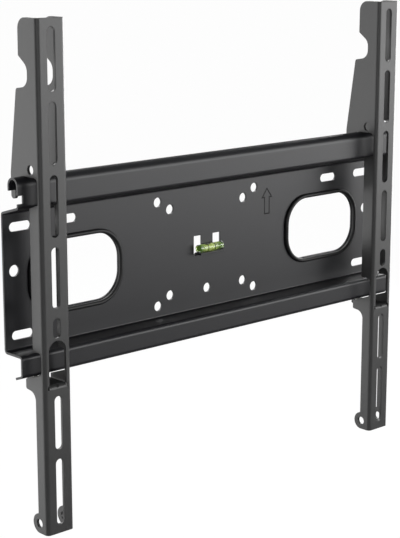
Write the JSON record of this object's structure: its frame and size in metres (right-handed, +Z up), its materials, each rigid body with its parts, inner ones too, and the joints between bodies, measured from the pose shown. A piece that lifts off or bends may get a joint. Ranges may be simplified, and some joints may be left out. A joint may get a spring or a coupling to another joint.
{
  "type": "fixed tv wall bracket",
  "caption": "Fixed tv wall bracket in black coated steel: a folded wall plate with cable openings and a spirit level, and two slotted channel arms hooked over its rail.",
  "frame": {"origin": "wall face, at the centre of the four end slots of the wall plate", "axes": "+X to the right along the wall plate, +Y into the wall, +Z up; the tv side faces -Y"},
  "size_m": [0.455, 0.042, 0.43],
  "materials": {
    "coated_steel": "satin",
    "zinc_steel": "satin",
    "clear_acrylic": "gloss",
    "plug_acrylic": "gloss",
    "green_liquid": "gloss"
  },
  "bodies": {
    "root": {"wall_plate": "coated_steel", "left_arm": "coated_steel", "right_arm": "coated_steel", "left_locking_screw": "zinc_steel", "right_locking_screw": "zinc_steel", "level_vial": "clear_acrylic", "level_plug": "plug_acrylic", "level_liquid": "green_liquid"}
  },
  "joints": []
}
